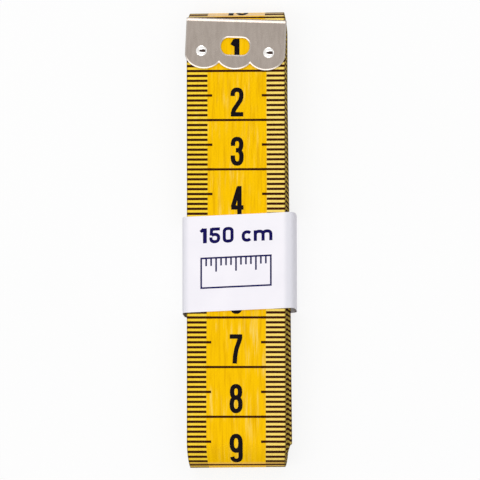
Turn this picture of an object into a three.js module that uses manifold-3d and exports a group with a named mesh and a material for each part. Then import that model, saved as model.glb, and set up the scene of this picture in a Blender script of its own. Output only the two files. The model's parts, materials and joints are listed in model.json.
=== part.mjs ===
// A tailor's cloth tape measure, wound flat into a long bundle that a paper band holds together.
// Lengths are in millimetres. X runs across the tape, Y along the bundle and Z up from the table.
// The zero end lies on top, at the +Y end. The other end lies in the middle of the coil.

import * as THREE from 'three';
import { mergeVertices } from 'three/addons/utils/BufferGeometryUtils.js';
import Module from 'manifold-3d';

// Driving sizes of the tape
const scaleLength = 1500; // from the outside of one clip to the outside of the other
const tapeWidth = 19.8;
const tapeThickness = 0.3;

// Driving sizes of the winding
const layerCount = 17;
const layerGap = 0.08; // where the layers are pressed together, over the inner clip
const foldReach = 4.4; // how far the outermost fold bulges past the straight stretch
const looseFoldStep = 0.615; // between the tips of nested folds at the inner clip's end
const clipSetback = 1.92; // from the end of the bundle to the outside of the start clip
const innerEndGap = 35.7; // from the end of the bundle to the other cut end
const coreTaper = 14; // over which the layers close up again beside the inner clip
const innerLean = 1.28; // how far the inner end of the coil has slipped to the right at the -Y end

// Driving sizes of the two clips and their rivets
const clipSheet = 0.25;
const clipPlay = 0.02; // air between the tape and the folded sheet
const clipOverhang = 0.2; // past each edge of the tape
const clipLength = 10.42; // from the outside of its fold to the tips of its scallops
const clipEdgeBreak = 0.08; // the blunted edge of the blank
const scallopCount = 3;
const scallopBulge = 4.1; // from the middle of a scallop's arc to its tip
const scallopSpreadShare = 2 / 3; // of the pitch, from the middle of its arc to the side
const scallopSideShare = 0.61; // of the pitch, from the outer scallops' middles to the clip's sides
const windowWidth = 5.86;
const windowHeight = 3.5;
const windowEndReach = 1.5; // how far the window's round ends reach past its flat edges
const windowFromFold = 5.7; // to the middle of the window
const rivetFromSide = 3.3; // from the clip's side
const rivetFromFold = 6.85;
const rivetShankRadius = 0.55;
const rivetHeadRadius = 1.1;
const rivetHeadHeight = 0.22;
const rivetTailRadius = 0.9;
const rivetTailHeight = 0.14;
const rivetSeat = 0.02;
const rivetHolePlay = 0.06;
const startClipTurn = THREE.MathUtils.degToRad(-2.65); // it was pressed on a little askew
const startClipShift = 0.15;

// Driving sizes of the paper band
const paperThickness = 0.1;
const bandHeight = 19.4; // along the bundle
const bandShift = -5.3; // from the middle of the bundle
const bandSkew = THREE.MathUtils.degToRad(2); // of its cut edges, which climb to the right
const bandPlay = 0.06; // between the paper and the flat sides of the bundle
const bandBulgeLeft = 1.0; // past the tape's left edge
const bandBulgeRight = 1.9;
const bandEdgeInset = 0.1; // from the tape's edge inwards to where the paper starts to turn down
const bandSquareness = 4; // power of the round sides: 2 is an ellipse, more is squarer
const bandOverlap = 8;
const bandGlue = 0.02;

// Driving sizes of the free end's hinge lines
const hingeGap = 0.3;
const hingeFromBand = 0.6; // past the band's nearest corner
const hingeStep = 10.4; // between two hinge lines
const restGap = 0.08; // between the start clip's rivet tails and the layer that they lie on

// Steps of the round shapes
const foldSteps = 14;
const taperSteps = 6;
const scallopSteps = 14;
const windowSteps = 10;
const rivetSides = 20;
const domeSteps = 4;
const bandSideSteps = 20;

// Levels of the winding, from the table up
const layerPitch = tapeThickness + layerGap;
const paperPitch = paperThickness + bandGlue;
const stackBottom = paperPitch + paperThickness + bandPlay;
const clipHalfThickness = tapeThickness / 2 + clipPlay + clipSheet;
const clipHalfWidth = tapeWidth / 2 + clipOverhang;
const foldRadius = clipHalfThickness;
const clipHome = clipPlay + clipHalfWidth * Math.abs(Math.sin(startClipTurn));
const foldOutside = clipHome + foldRadius;
const clothLength = scaleLength - 2 * foldOutside;
const rivetTop = clipHalfThickness + rivetSeat + rivetHeadHeight;
const rivetBottom = clipHalfThickness + rivetSeat + rivetTailHeight;
const coreHalf = rivetTop + layerGap + tapeThickness / 2;
const innerLayer = layerCount - 1;
const layersAbove = Math.ceil(innerLayer / 2);
const layersBelow = Math.floor(innerLayer / 2);
const lowestLevel = stackBottom + tapeThickness / 2;
const innerLevel = lowestLevel + (layersBelow - 1) * layerPitch + coreHalf;
const topLevel = innerLevel + (layersAbove - 1) * layerPitch + coreHalf;
const stackTop = topLevel + tapeThickness / 2;
const foldShape = foldReach / ((topLevel - lowestLevel) / 2);

// Layers are counted along the tape from its zero end: even ones lie above the inner end and run
// towards -Y, odd ones lie below it and run towards +Y. The last layer carries the inner clip.
const innerHeading = innerLayer % 2 === 0 ? -1 : 1;

// Layers below a layer, through the whole bundle or past the inner end, where one layer is missing.
function layersUnder(layer, isPastEnd) {
  if (layer === innerLayer) return layersBelow;
  if (layer % 2 === 1) return Math.floor(layer / 2);
  return innerLayer - layer / 2 - (isPastEnd ? 1 : 0);
}

function spreadPitch(isPastEnd) {
  return (topLevel - lowestLevel) / (isPastEnd ? innerLayer - 1 : innerLayer);
}

// Away from the inner clip the layers share out the height of the bundle evenly.
function spreadLevel(layer, isPastEnd) {
  return lowestLevel + layersUnder(layer, isPastEnd) * spreadPitch(isPastEnd);
}

// Over and under the inner clip they are pressed together.
function pressedLevel(layer) {
  if (layer === innerLayer) return innerLevel;
  const depth = Math.floor(layer / 2) * layerPitch;
  return layer % 2 === 0 ? topLevel - depth : lowestLevel + depth;
}

// The stretch that the inner clip takes up, and the tapers beside it: the one towards the near
// fold ends where the outermost fold begins.
function innerClipSpan(halfBundle) {
  const foldSide = halfBundle - innerEndGap + foldOutside;
  return {
    foldSide, openSide: foldSide - clipLength, foldTaper: halfBundle - foldReach - foldSide,
  };
}

// The height of the middle of a layer's cloth at a place along the bundle.
function levelOf(layer, y, halfBundle) {
  const span = innerClipSpan(halfBundle);
  const out = y * innerHeading;
  const pastFoldSide = THREE.MathUtils.smoothstep(out - span.foldSide, 0, span.foldTaper);
  const pastOpenSide = THREE.MathUtils.smoothstep(span.openSide - out, 0, coreTaper);
  const pressedShare = 1 - Math.max(pastFoldSide, pastOpenSide);
  const spread = spreadLevel(layer, out > span.foldSide);
  return THREE.MathUtils.lerp(spread, pressedLevel(layer), pressedShare);
}

// One layer from fold to fold, running straight but for the swelling over the inner clip.
class LayerCurve extends THREE.Curve {
  constructor(layer, from, to, halfBundle) {
    super();
    this.layer = layer;
    this.from = from;
    this.to = to;
    this.halfBundle = halfBundle;
  }

  getPoint(share) {
    const y = THREE.MathUtils.lerp(this.from, this.to, share);
    return new THREE.Vector2(y, levelOf(this.layer, y, this.halfBundle));
  }

  // Shares of its run at which the cloth needs a station: the steps of both tapers.
  bendShares() {
    const span = innerClipSpan(this.halfBundle);
    const outs = [];
    for (let step = 0; step <= taperSteps; step += 1) {
      outs.push(span.foldSide + (span.foldTaper * step) / taperSteps);
      outs.push(span.openSide - (coreTaper * step) / taperSteps);
    }
    return outs
      .map((out) => (out * innerHeading - this.from) / (this.to - this.from))
      .filter((share) => share > 0 && share < 1)
      .sort((first, second) => first - second);
  }
}

// The fold that follows a layer: a half ellipse whose tip lies one step inside the fold round it.
function foldAfter(layer, halfBundle) {
  const heading = layer % 2 === 0 ? -1 : 1;
  const isPastEnd = heading === innerHeading;
  const from = spreadLevel(layer, isPastEnd);
  const to = spreadLevel(layer + 1, isPastEnd);
  const radius = Math.abs(from - to) / 2;
  const reach = foldShape * radius;
  const step = isPastEnd ? looseFoldStep : spreadPitch(isPastEnd);
  const depth = Math.floor(layer / 2) * step;
  const centre = heading * (halfBundle - tapeThickness / 2 - depth - reach);
  const startAngle = heading < 0 ? Math.PI / 2 : -Math.PI / 2;
  const curve = new THREE.EllipseCurve(
    centre, (from + to) / 2, reach, radius, startAngle, startAngle + Math.PI, false,
  );
  return { centre, curve };
}

// The line through the middle of the cloth, from the zero end to the inner end, in Y and Z.
function windingPath(halfBundle) {
  const pieces = [];
  let from = halfBundle - clipSetback - foldOutside;
  for (let layer = 0; layer < innerLayer; layer += 1) {
    const fold = foldAfter(layer, halfBundle);
    pieces.push(new LayerCurve(layer, from, fold.centre, halfBundle), fold.curve);
    from = fold.centre;
  }
  const end = innerHeading * (halfBundle - innerEndGap);
  pieces.push(new LayerCurve(innerLayer, from, end, halfBundle));
  return pieces;
}

// The bundle is as long as the tape's length and the number of layers make it: each layer gains
// as much as the bundle does, so two trial lengths give the one that fits.
function lengthOf(pieces) {
  return pieces.reduce((sum, piece) => sum + piece.getLength(), 0);
}
const shortTrial = clothLength / (2 * layerCount);
const longTrial = 2 * shortTrial;
const shortLength = lengthOf(windingPath(shortTrial));
const longLength = lengthOf(windingPath(longTrial));
const trialShare = (clothLength - shortLength) / (longLength - shortLength);
const halfBundle = shortTrial + (longTrial - shortTrial) * trialShare;
const winding = windingPath(halfBundle);

// Places along the bundle
const zeroEnd = halfBundle - clipSetback - foldOutside;
const innerEnd = innerHeading * (halfBundle - innerEndGap);
const bandHalfWidthRight = tapeWidth / 2 + bandBulgeRight;
const bandSlope = Math.tan(bandSkew);
const bandTopCorner = bandShift + bandHeight / 2 + bandHalfWidthRight * bandSlope;
const firstHinge = bandTopCorner + hingeFromBand;
const hinges = [0, 1, 2].map((step) => firstHinge + step * hingeStep);

// The free end climbs from the first hinge line to the start clip, whose back plate lies under it.
const clipLevel = topLevel - layerPitch + tapeThickness / 2 + restGap + rivetBottom;
const clipInnerEdge = zeroEnd + foldOutside - clipLength - clipEdgeBreak - clipPlay;
function freeEndLevel(y) {
  const share = THREE.MathUtils.clamp((y - firstHinge) / (clipInnerEdge - firstHinge), 0, 1);
  return THREE.MathUtils.lerp(topLevel, clipLevel, share);
}

// The further in a turn lies, the more it is skewed to the right, towards the -Y end. The place
// in the winding is counted in layers from the zero end.
function leanAt(y, place) {
  const alongShare = (halfBundle - y) / (2 * halfBundle);
  return innerLean * alongShare * (place / layerCount) ** 2;
}

// A closed mesh through rings of four corners, each ring square to the way that the rings follow.
function throughRings(rings) {
  const positions = rings.flat(2);
  const indices = [];
  for (let ring = 0; ring + 1 < rings.length; ring += 1) {
    for (let corner = 0; corner < 4; corner += 1) {
      const next = (corner + 1) % 4;
      const here = ring * 4;
      const ahead = here + 4;
      indices.push(here + corner, ahead + corner, ahead + next);
      indices.push(here + corner, ahead + next, here + next);
    }
  }
  const last = (rings.length - 1) * 4;
  indices.push(0, 1, 2, 0, 2, 3);
  indices.push(last + 2, last + 1, last, last + 3, last + 2, last);
  const geometry = new THREE.BufferGeometry();
  geometry.setAttribute('position', new THREE.Float32BufferAttribute(positions, 3));
  geometry.setIndex(indices);
  return geometry;
}

// A stretch of tape through stations { y, z, normalY, normalZ, place } on the middle of its cloth.
function ribbon(stations) {
  return throughRings(stations.map(({ y, z, normalY, normalZ, place }) => {
    const left = leanAt(y, place) - tapeWidth / 2;
    const right = left + tapeWidth;
    const half = tapeThickness / 2;
    const outer = [y + normalY * half, z + normalZ * half];
    const inner = [y - normalY * half, z - normalZ * half];
    return [[left, ...outer], [right, ...outer], [right, ...inner], [left, ...inner]];
  }));
}

// Stations on a curve, with the outward normal on the right of the way it runs. The place in the
// winding grows by one along each layer and stays as it is round a fold.
function stationsOn(curve, shares, placeAt) {
  return shares.map((share) => {
    const point = curve.getPoint(share);
    const tangent = curve.getTangent(share);
    return {
      y: point.x, z: point.y, normalY: tangent.y, normalZ: -tangent.x, place: placeAt(share),
    };
  });
}

function evenShares(steps) {
  return Array.from({ length: steps + 1 }, (_, step) => step / steps);
}

// The coil starts at the first hinge line and runs to the inner end without a break.
function coilStations() {
  const stations = [{
    y: firstHinge - hingeGap / 2, z: topLevel, normalY: 0, normalZ: 1, place: 0,
  }];
  winding.forEach((curve, index) => {
    if (curve instanceof THREE.EllipseCurve) {
      const after = (index + 1) / 2;
      stations.push(...stationsOn(curve, evenShares(foldSteps), () => after));
    } else if (index > 0) {
      stations.push(...stationsOn(curve, curve.bendShares(), (share) => curve.layer + share));
    }
  });
  return stations.concat(stationsOn(winding[winding.length - 1], [1], () => layerCount));
}

// The least air between two layers, measured from each station to every stretch a turn away.
function leastGap(stations) {
  const line = new THREE.Line3();
  const nearest = new THREE.Vector3();
  const points = stations.map(({ y, z }) => new THREE.Vector3(0, y, z));
  let least = Infinity;
  points.forEach((point, index) => {
    for (let other = index + foldSteps; other + 1 < points.length; other += 1) {
      line.set(points[other], points[other + 1]);
      line.closestPointToPoint(point, true, nearest);
      least = Math.min(least, nearest.distanceTo(point) - tapeThickness);
    }
  });
  return least;
}

// One stretch of the free end, from one place along the bundle to another.
function freeEndStretch(from, to) {
  const bends = [from, clipInnerEdge, to].filter((y) => y >= from && y <= to);
  const places = [...new Set(bends)].sort((first, second) => second - first);
  return ribbon(places.map((y) => ({
    y, z: freeEndLevel(y), normalY: 0, normalZ: 1, place: 0,
  })));
}

const wasm = await Module();
wasm.setup();

function toSolid(geometry) {
  const bare = geometry.clone();
  bare.deleteAttribute('normal');
  bare.deleteAttribute('uv');
  const welded = mergeVertices(bare);
  return new wasm.Manifold(new wasm.Mesh({
    numProp: 3,
    vertProperties: new Float32Array(welded.attributes.position.array),
    triVerts: new Uint32Array(welded.index.array),
  }));
}

function toGeometry(solid) {
  const mesh = solid.getMesh();
  const geometry = new THREE.BufferGeometry();
  geometry.setAttribute('position', new THREE.BufferAttribute(mesh.vertProperties, 3));
  geometry.setIndex(new THREE.BufferAttribute(mesh.triVerts, 1));
  return geometry;
}

// The clip's own frame: its origin is the middle of the tape's cut end, the fold lies just past it
// in +Y, and the plates lie over the tape in -Y, the windowed one on top.
const scallopTip = foldOutside - clipLength;
const windowMiddle = foldOutside - windowFromFold;
const rivetLine = foldOutside - rivetFromFold;
const cutOverrun = 1;

// The folded sheet in section, Y to the right and Z up.
function clipSection() {
  const inside = foldRadius - clipSheet;
  const shape = new THREE.Shape();
  shape.moveTo(scallopTip, -foldRadius);
  shape.lineTo(clipHome, -foldRadius);
  shape.absarc(clipHome, 0, foldRadius, -Math.PI / 2, Math.PI / 2, false);
  shape.lineTo(scallopTip, foldRadius);
  shape.lineTo(scallopTip, inside);
  shape.lineTo(clipHome, inside);
  shape.absarc(clipHome, 0, inside, Math.PI / 2, -Math.PI / 2, true);
  shape.lineTo(scallopTip, -inside);
  shape.closePath();
  return shape;
}

// The clip from above: square at the fold, with round scallops along the free edge.
function clipOutline() {
  const pitch = (2 * clipHalfWidth) / (scallopCount - 1 + 2 * scallopSideShare);
  const spread = scallopSpreadShare * pitch;
  const scallopY = scallopTip + scallopBulge;
  const outermost = ((scallopCount - 1) / 2) * pitch;
  const sideAngle = Math.acos(scallopSideShare / scallopSpreadShare);
  const cuspAngle = Math.acos(1 / 2 / scallopSpreadShare);
  const shape = new THREE.Shape();
  shape.moveTo(clipHalfWidth, foldOutside);
  shape.lineTo(-clipHalfWidth, foldOutside);
  for (let index = 0; index < scallopCount; index += 1) {
    const x = index * pitch - outermost;
    const start = Math.PI + (index === 0 ? sideAngle : cuspAngle);
    const end = 2 * Math.PI - (index === scallopCount - 1 ? sideAngle : cuspAngle);
    shape.absellipse(x, scallopY, spread, scallopBulge, start, end, false);
  }
  shape.closePath();
  return shape;
}

// The window: flat above and below, with blunt round ends.
function windowOutline() {
  const flat = windowWidth / 2 - windowEndReach;
  const shape = new THREE.Shape();
  shape.absellipse(
    flat, windowMiddle, windowEndReach, windowHeight / 2, -Math.PI / 2, Math.PI / 2, false,
  );
  shape.absellipse(
    -flat, windowMiddle, windowEndReach, windowHeight / 2, Math.PI / 2, 1.5 * Math.PI, false,
  );
  shape.closePath();
  return shape;
}

function rivetPlaces() {
  const fromMiddle = clipHalfWidth - rivetFromSide;
  return [-1, 1].map((side) => new THREE.Vector2(side * fromMiddle, rivetLine));
}

// Two upright round cutters, one for each rivet.
function rivetHoles(radius) {
  const height = 2 * (clipHalfThickness + cutOverrun);
  const holes = rivetPlaces().map((place) => {
    const hole = new THREE.CylinderGeometry(radius, radius, height, rivetSides);
    hole.rotateX(Math.PI / 2);
    hole.translate(place.x, place.y, 0);
    return toSolid(hole);
  });
  return holes[0].add(holes[1]);
}

function clipGeometry() {
  const folded = new THREE.ExtrudeGeometry(clipSection(), {
    depth: 2 * clipHalfWidth, bevelEnabled: false, curveSegments: foldSteps,
  });
  folded.rotateY(Math.PI / 2);
  folded.rotateX(Math.PI / 2);
  folded.translate(-clipHalfWidth, 0, 0);
  const blank = new THREE.ExtrudeGeometry(clipOutline(), {
    depth: 2 * (foldRadius - clipEdgeBreak),
    bevelThickness: clipEdgeBreak,
    bevelSize: clipEdgeBreak,
    bevelOffset: -clipEdgeBreak,
    bevelSegments: 1,
    curveSegments: scallopSteps,
  });
  blank.translate(0, 0, clipEdgeBreak - foldRadius);
  const opening = new THREE.ExtrudeGeometry(windowOutline(), {
    depth: foldRadius + cutOverrun, bevelEnabled: false, curveSegments: windowSteps,
  });
  const solid = toSolid(folded)
    .intersect(toSolid(blank))
    .subtract(toSolid(opening))
    .subtract(rivetHoles(rivetShankRadius + rivetHolePlay));
  return toGeometry(solid);
}

// A rivet stands on the Z axis: a low dome on the windowed plate and a flattened tail behind.
function rivetGeometry() {
  const headBase = clipHalfThickness + rivetSeat;
  const tailBase = -headBase;
  const domeRadius = (rivetHeadRadius ** 2 + rivetHeadHeight ** 2) / (2 * rivetHeadHeight);
  const domeAngle = Math.asin(rivetHeadRadius / domeRadius);
  const domeCentre = headBase + rivetHeadHeight - domeRadius;
  const profile = [
    new THREE.Vector2(0, -rivetBottom),
    new THREE.Vector2(rivetTailRadius - rivetTailHeight / 2, -rivetBottom),
    new THREE.Vector2(rivetTailRadius, tailBase - rivetTailHeight / 2),
    new THREE.Vector2(rivetTailRadius, tailBase),
    new THREE.Vector2(rivetShankRadius, tailBase),
    new THREE.Vector2(rivetShankRadius, headBase),
  ];
  for (let step = 0; step <= domeSteps; step += 1) {
    const angle = domeAngle * (1 - step / domeSteps);
    const radius = step === domeSteps ? 0 : domeRadius * Math.sin(angle);
    profile.push(new THREE.Vector2(radius, domeCentre + domeRadius * Math.cos(angle)));
  }
  const geometry = new THREE.LatheGeometry(profile, rivetSides);
  geometry.rotateX(Math.PI / 2);
  return geometry;
}

// The band's middle line in section, X to the right and Z up: from the flap that is glued inside,
// round the left side, over the top, down the right side and back under as the outer flap.
function bandLine() {
  const outerFlap = paperThickness / 2;
  const innerFlap = outerFlap + paperPitch;
  const over = stackTop + bandPlay + paperThickness / 2;
  const points = [new THREE.Vector2(bandOverlap / 2, innerFlap)];
  points.push(...bandSide(-1, bandBulgeLeft, innerFlap, over));
  points.push(...bandSide(1, bandBulgeRight, outerFlap, over).reverse());
  points.push(new THREE.Vector2(-bandOverlap / 2, outerFlap));
  return points;
}

// One bulging side, from its crease below to its crease above.
function bandSide(side, bulge, below, above) {
  const creaseX = tapeWidth / 2 - bandEdgeInset;
  const depth = bandEdgeInset + bulge;
  const middle = (above + below) / 2;
  const rise = (above - below) / 2;
  const power = 2 / bandSquareness;
  return evenShares(bandSideSteps).map((share) => {
    const angle = (share - 0.5) * Math.PI;
    const out = Math.abs(Math.cos(angle)) ** power;
    const up = Math.sign(angle) * Math.abs(Math.sin(angle)) ** power;
    return new THREE.Vector2(side * (creaseX + depth * out), middle + rise * up);
  });
}

// The paper follows that line: each ring spans its thickness and its height along the bundle.
function bandGeometry() {
  const line = bandLine();
  const rings = line.map((point, index) => {
    const before = line[Math.max(index - 1, 0)];
    const after = line[Math.min(index + 1, line.length - 1)];
    const normal = after.clone().sub(before).normalize();
    const across = new THREE.Vector2(-normal.y, normal.x).multiplyScalar(paperThickness / 2);
    const outer = point.clone().add(across);
    const inner = point.clone().sub(across);
    const corner = ({ x, y }, end) => [x, end * (bandHeight / 2) + x * bandSlope, y];
    return [corner(outer, -1), corner(outer, 1), corner(inner, 1), corner(inner, -1)];
  });
  return throughRings(rings);
}

function finish(color, roughness, metalness) {
  return new THREE.MeshStandardMaterial({ color, roughness, metalness });
}

function piece(name, geometry, material) {
  const mesh = new THREE.Mesh(geometry, material);
  mesh.name = name;
  return mesh;
}

// A clip and its two rivets, in the clip's own frame.
function clipWithRivets(name) {
  const group = new THREE.Group();
  group.add(piece(`${name}_clip`, clipGeometry(), finish(0xaca39b, 0.38, 0.9)));
  rivetPlaces().forEach((place, index) => {
    const side = index === 0 ? 'left' : 'right';
    const rivet = piece(`${name}_rivet_${side}`, rivetGeometry(), finish(0xc9c4be, 0.25, 1));
    rivet.position.set(place.x, place.y, 0);
    group.add(rivet);
  });
  return group;
}

// Cuts the rivet holes of a placed clip into the tape under it.
function punched(geometry, clip) {
  clip.updateMatrixWorld(true);
  const holes = toGeometry(rivetHoles(rivetShankRadius + rivetHolePlay));
  holes.applyMatrix4(clip.matrixWorld);
  return toGeometry(toSolid(geometry).subtract(toSolid(holes)));
}

const startClip = clipWithRivets('start');
startClip.position.set(startClipShift, zeroEnd, clipLevel);
startClip.rotation.z = startClipTurn;

const innerClip = clipWithRivets('inner');
innerClip.position.set(leanAt(innerEnd, layerCount), innerEnd, innerLevel);
innerClip.rotation.z = (innerHeading < 0 ? Math.PI : 0) + Math.atan(innerLean / (2 * halfBundle));

const stations = coilStations();
const yellowCloth = [0xf0b400, 0.45, 0];
const group = new THREE.Group();
group.add(piece('tape_coil', punched(ribbon(stations), innerClip), finish(...yellowCloth)));
const stretchNames = ['free_end_near_band', 'free_end_middle', 'free_end_at_clip'];
stretchNames.forEach((name, index) => {
  const isLast = index === stretchNames.length - 1;
  const to = isLast ? zeroEnd : hinges[index + 1] - hingeGap / 2;
  const plain = freeEndStretch(hinges[index] + hingeGap / 2, to);
  const stretch = isLast ? punched(plain, startClip) : plain;
  group.add(piece(name, stretch, finish(...yellowCloth)));
});
group.add(startClip, innerClip);

const band = piece('paper_band', bandGeometry(), finish(0xf2eff4, 0.7, 0));
band.position.y = bandShift;
group.add(band);

// The origin lies under the middle of the whole object, on the table.
const extent = new THREE.Box3().setFromObject(group, true);
const middle = extent.getCenter(new THREE.Vector3());
group.position.set(-middle.x, -middle.y, -extent.min.z);

const hingeLines = hinges.map((y) => {
  const place = new THREE.Vector3(0, y, freeEndLevel(y)).add(group.position);
  return `Y ${place.y.toFixed(3)} Z ${place.z.toFixed(3)}`;
});
console.log(`least gap between the coil's layers: ${leastGap(stations).toFixed(3)} mm`);
console.log(`bundle length: ${(2 * halfBundle).toFixed(2)} mm`);
console.log(`tape's middle: X ${group.position.x.toFixed(3)}`);
console.log(`hinge lines: ${hingeLines.join(', ')}`);

export default group;
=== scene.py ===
"""A cloth tape measure wound flat in a paper band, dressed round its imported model.

Lengths are in millimetres until a mesh is made, and angles are written in degrees.
"""

import bisect
import json
import math
import random
from dataclasses import dataclass, field

import bpy
from mathutils import Matrix, Vector
from mathutils.geometry import delaunay_2d_cdt


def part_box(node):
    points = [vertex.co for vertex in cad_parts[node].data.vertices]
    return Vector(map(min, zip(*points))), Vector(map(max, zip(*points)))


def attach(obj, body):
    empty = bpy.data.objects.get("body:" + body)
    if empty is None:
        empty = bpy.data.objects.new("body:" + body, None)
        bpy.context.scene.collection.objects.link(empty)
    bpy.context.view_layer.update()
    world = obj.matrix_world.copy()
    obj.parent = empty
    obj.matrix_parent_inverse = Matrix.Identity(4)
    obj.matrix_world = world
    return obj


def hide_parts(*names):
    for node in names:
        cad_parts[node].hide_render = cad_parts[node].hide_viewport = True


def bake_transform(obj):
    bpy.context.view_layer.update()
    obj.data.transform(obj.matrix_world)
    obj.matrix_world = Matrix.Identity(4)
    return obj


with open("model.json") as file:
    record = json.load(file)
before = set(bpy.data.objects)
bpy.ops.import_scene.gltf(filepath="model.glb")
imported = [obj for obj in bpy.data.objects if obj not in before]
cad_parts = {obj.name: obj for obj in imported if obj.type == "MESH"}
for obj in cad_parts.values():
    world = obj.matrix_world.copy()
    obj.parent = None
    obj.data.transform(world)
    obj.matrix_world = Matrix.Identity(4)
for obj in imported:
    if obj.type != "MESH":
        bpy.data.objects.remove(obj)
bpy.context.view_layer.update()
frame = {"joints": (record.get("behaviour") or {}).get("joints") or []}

MM = 0.001  # metres


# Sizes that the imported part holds

def box_mm(node):
    return [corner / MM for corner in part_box(node)]


def joint_place(name):
    joint = next(joint for joint in frame["joints"] if joint["name"] == name)
    return Vector(joint["pos_m"]) / MM


HINGES = [joint_place(name).y for name in ("free_end_lift", "free_end_curl", "free_end_tip_curl")]

stretch_low, stretch_high = box_mm("free_end_middle")
TAPE_WIDTH = stretch_high.x - stretch_low.x
TAPE_MIDDLE = (stretch_low.x + stretch_high.x) / 2

coil_low, coil_high = box_mm("tape_coil")
HALF_BUNDLE = coil_high.y

clip_low, clip_high = box_mm("start_clip")
CLIP_LEVEL = (clip_low.z + clip_high.z) / 2
inner_low, inner_high = box_mm("inner_clip")
INNER_LEVEL = (inner_low.z + inner_high.z) / 2


# Sizes of the winding, as in the part

TAPE_THICKNESS = 0.3
LAYER_COUNT = 17
LAYER_GAP = 0.08  # where the layers are pressed together, over the inner clip
FOLD_REACH = 4.4
LOOSE_FOLD_STEP = 0.615
CLIP_SETBACK = 1.92
INNER_END_GAP = 35.7
CORE_TAPER = 14.0
INNER_LEAN = 1.28

CLIP_SHEET = 0.25
CLIP_PLAY = 0.02
CLIP_OVERHANG = 0.2
CLIP_LENGTH = 10.42
START_CLIP_TURN = math.radians(-2.65)
START_CLIP_SHIFT = 0.15

LAYER_PITCH = TAPE_THICKNESS + LAYER_GAP
LOWEST_LEVEL = coil_low.z + TAPE_THICKNESS / 2
TOP_LEVEL = coil_high.z - TAPE_THICKNESS / 2
STACK = TOP_LEVEL - LOWEST_LEVEL
FOLD_SHAPE = FOLD_REACH / (STACK / 2)
FOLD_RADIUS = TAPE_THICKNESS / 2 + CLIP_PLAY + CLIP_SHEET
CLIP_HALF_WIDTH = TAPE_WIDTH / 2 + CLIP_OVERHANG
CLIP_HOME = CLIP_PLAY + CLIP_HALF_WIDTH * abs(math.sin(START_CLIP_TURN))
FOLD_OUTSIDE = CLIP_HOME + FOLD_RADIUS
ZERO_END = HALF_BUNDLE - CLIP_SETBACK - FOLD_OUTSIDE
INNER_LAYER = LAYER_COUNT - 1
INNER_END = -(HALF_BUNDLE - INNER_END_GAP)
CLIP_INNER_EDGE = ZERO_END + FOLD_OUTSIDE - CLIP_LENGTH


def smoothstep(value, low, high):
    share = min(max((value - low) / (high - low), 0.0), 1.0)
    return share * share * (3 - 2 * share)


def lerp(first, second, share):
    return first + (second - first) * share


def rounded(angle, squareness):
    """A point of a rounded square with half sides of 1. Squareness 2 is a circle."""
    parts = math.cos(angle), math.sin(angle)
    return [math.copysign(abs(part) ** (2 / squareness), part) for part in parts]


# The line through the middle of the cloth

class Path:
    """A polyline in a plane, with the outward normal and one more value at each place on it.

    side is 1 where the outside lies on the left of the way that it runs, and -1 on the right."""

    def __init__(self, points, side, values=None):
        self.points, self.values = points, values or [0.0] * len(points)
        self.lengths = [0.0]
        for (a, b), (c, d) in zip(points, points[1:]):
            self.lengths.append(self.lengths[-1] + math.hypot(c - a, d - b))
        self.normals = []
        for index in range(len(points)):
            a, b = points[max(index - 1, 0)]
            c, d = points[min(index + 1, len(points) - 1)]
            run = math.hypot(c - a, d - b)
            self.normals.append((side * (b - d) / run, side * (c - a) / run))

    def at(self, length):
        index = bisect.bisect_right(self.lengths, length) - 1
        index = min(max(index, 0), len(self.points) - 2)
        here, ahead = self.lengths[index], self.lengths[index + 1]
        share = (length - here) / (ahead - here)
        point = [lerp(*pair, share) for pair in zip(self.points[index], self.points[index + 1])]
        normal = [lerp(*pair, share) for pair in zip(self.normals[index], self.normals[index + 1])]
        size = math.hypot(*normal)
        value = lerp(self.values[index], self.values[index + 1], share)
        return point, (normal[0] / size, normal[1] / size), value


def layers_under(layer, is_past_end):
    """How many layers lie below this one, at a place that the inner end reaches or past it."""
    if layer == INNER_LAYER:
        return INNER_LAYER // 2
    if layer % 2 == 1:
        return layer // 2
    return INNER_LAYER - layer // 2 - (1 if is_past_end else 0)


def spread_pitch(is_past_end):
    return STACK / (INNER_LAYER - 1 if is_past_end else INNER_LAYER)


def spread_level(layer, is_past_end):
    return LOWEST_LEVEL + layers_under(layer, is_past_end) * spread_pitch(is_past_end)


def pressed_level(layer):
    if layer == INNER_LAYER:
        return INNER_LEVEL
    depth = layer // 2 * LAYER_PITCH
    return TOP_LEVEL - depth if layer % 2 == 0 else LOWEST_LEVEL + depth


# Where the inner clip's fold and its free edge lie, from the middle towards the near end
FOLD_SIDE = HALF_BUNDLE - INNER_END_GAP + FOLD_OUTSIDE
OPEN_SIDE = FOLD_SIDE - CLIP_LENGTH
FOLD_TAPER = HALF_BUNDLE - FOLD_REACH - FOLD_SIDE


def level_of(layer, y):
    """The height of a layer's cloth. The layers share out the bundle's height evenly, and are
    pressed together over and under the inner clip. The free end climbs on to the start clip."""
    if layer == 0:
        return lerp(TOP_LEVEL, CLIP_LEVEL, smoothstep(y, HINGES[0], CLIP_INNER_EDGE))
    out = -y
    past_fold = smoothstep(out - FOLD_SIDE, 0, FOLD_TAPER)
    past_open = smoothstep(OPEN_SIDE - out, 0, CORE_TAPER)
    pressed = 1 - max(past_fold, past_open)
    return lerp(spread_level(layer, out > FOLD_SIDE), pressed_level(layer), pressed)


STRAIGHT_STEP = 1.0
FOLD_STEPS = 28
FINE_STEPS = 4  # points of the line between two stations of a fold
LEVEL_STEP = 1e-4  # a straight run that climbs more is cut into short faces


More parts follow.
